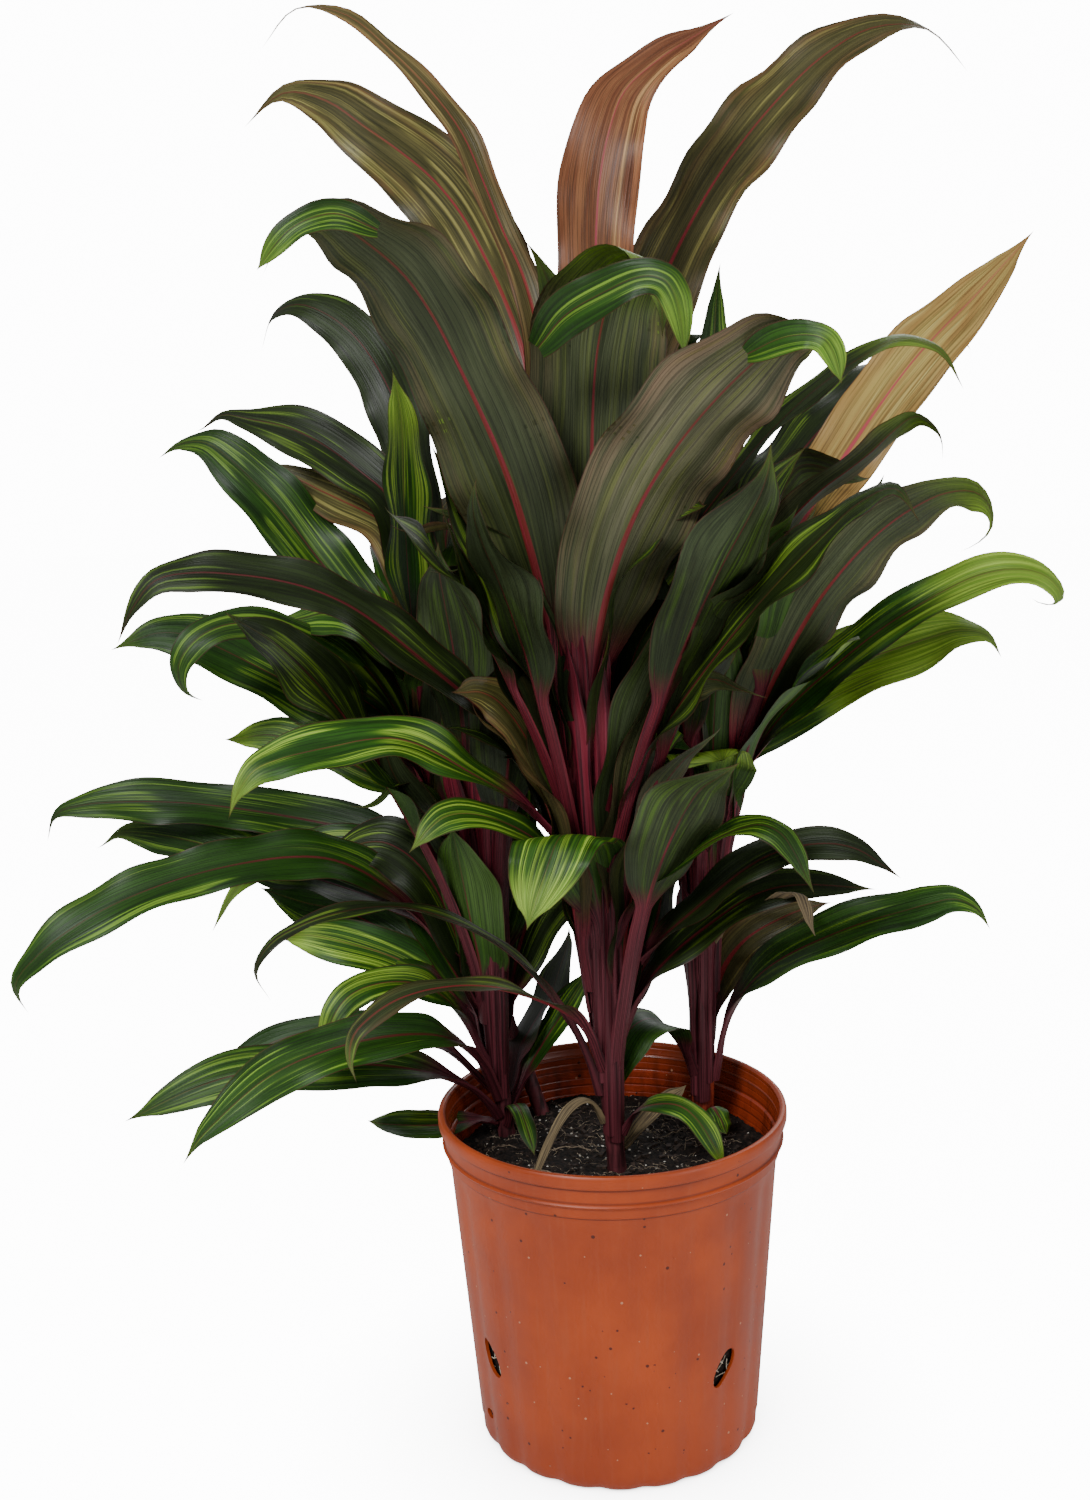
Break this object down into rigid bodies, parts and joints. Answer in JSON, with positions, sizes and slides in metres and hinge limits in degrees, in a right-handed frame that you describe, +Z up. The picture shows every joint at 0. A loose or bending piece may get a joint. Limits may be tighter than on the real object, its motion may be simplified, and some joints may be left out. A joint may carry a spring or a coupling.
{
  "type": "potted ti plant",
  "caption": "Leafy ti plant with arching lance-shaped leaves on four canes, in potting mix in a fluted round nursery pot.",
  "frame": {"origin": "centre of the pot's foot, on the surface that it stands on", "axes": "+Z up along the pot's axis, -Y towards the front of the plant, +X to its right"},
  "size_m": [0.7655, 0.475, 1.0243],
  "materials": {
    "terracotta_plastic": "injection-moulded terracotta-coloured plastic, satin, a little dusty",
    "potting_mix": "moist dark peat and bark fibres with white perlite specks",
    "cane_bark": "smooth reddish-brown bark with ring-shaped leaf scars",
    "dark_leaf": "very dark green, satin, with a red midrib",
    "bronze_leaf": "olive-bronze, satin, striped along the veins, with a pink-red midrib",
    "green_leaf": "mid green with darker stripes along the veins, satin",
    "lime_leaf": "bright lime with dark green stripes along the veins, satin",
    "grey_leaf": "grey-green underside, with a crimson midrib",
    "young_leaf": "young tan and pink leaf with a rose midrib, satin",
    "dry_leaf": "withered leaf, dry and papery"
  },
  "bodies": {
    "root": {"pot": "terracotta_plastic", "potting_mix": "potting_mix", "cane_centre": "cane_bark", "cane_right": "cane_bark", "cane_left": "cane_bark", "cane_back": "cane_bark", "leaf_centre_01": "bronze_leaf", "leaf_centre_02": "bronze_leaf", "leaf_centre_03": "grey_leaf", "leaf_centre_04": "grey_leaf", "leaf_centre_05": "bronze_leaf", "leaf_centre_06": "young_leaf", "leaf_centre_07": "bronze_leaf", "leaf_centre_08": "dark_leaf", "leaf_centre_09": "dark_leaf", "leaf_centre_10": "dark_leaf", "leaf_centre_11": "dark_leaf", "leaf_centre_12": "dark_leaf", "leaf_centre_13": "green_leaf", "leaf_centre_14": "dark_leaf", "leaf_centre_15": "lime_leaf", "leaf_centre_16": "lime_leaf", "leaf_centre_17": "lime_leaf", "leaf_centre_18": "green_leaf", "leaf_centre_19": "dark_leaf", "leaf_centre_20": "dark_leaf", "leaf_centre_21": "dark_leaf", "leaf_centre_22": "grey_leaf", "leaf_centre_23": "lime_leaf", "leaf_centre_24": "dry_leaf", "leaf_right_01": "young_leaf", "leaf_right_02": "dark_leaf", "leaf_right_03": "grey_leaf", "leaf_right_04": "grey_leaf", "leaf_right_05": "dark_leaf", "leaf_right_06": "lime_leaf", "leaf_right_07": "lime_leaf", "leaf_right_08": "green_leaf", "leaf_right_09": "bronze_leaf", "leaf_right_10": "green_leaf", "leaf_right_11": "green_leaf", "leaf_left_01": "dark_leaf", "leaf_left_02": "dark_leaf", "leaf_left_03": "lime_leaf", "leaf_left_04": "dark_leaf", "leaf_left_05": "lime_leaf", "leaf_left_06": "green_leaf", "leaf_left_07": "lime_leaf", "leaf_left_08": "dark_leaf", "leaf_left_09": "dark_leaf", "leaf_left_10": "dark_leaf", "leaf_left_11": "green_leaf", "leaf_left_12": "dark_leaf", "leaf_back_01": "green_leaf", "leaf_back_02": "lime_leaf", "leaf_back_03": "dark_leaf", "leaf_back_04": "dark_leaf", "leaf_back_05": "green_leaf", "leaf_back_06": "green_leaf", "leaf_back_07": "dark_leaf"}
  },
  "joints": []
}
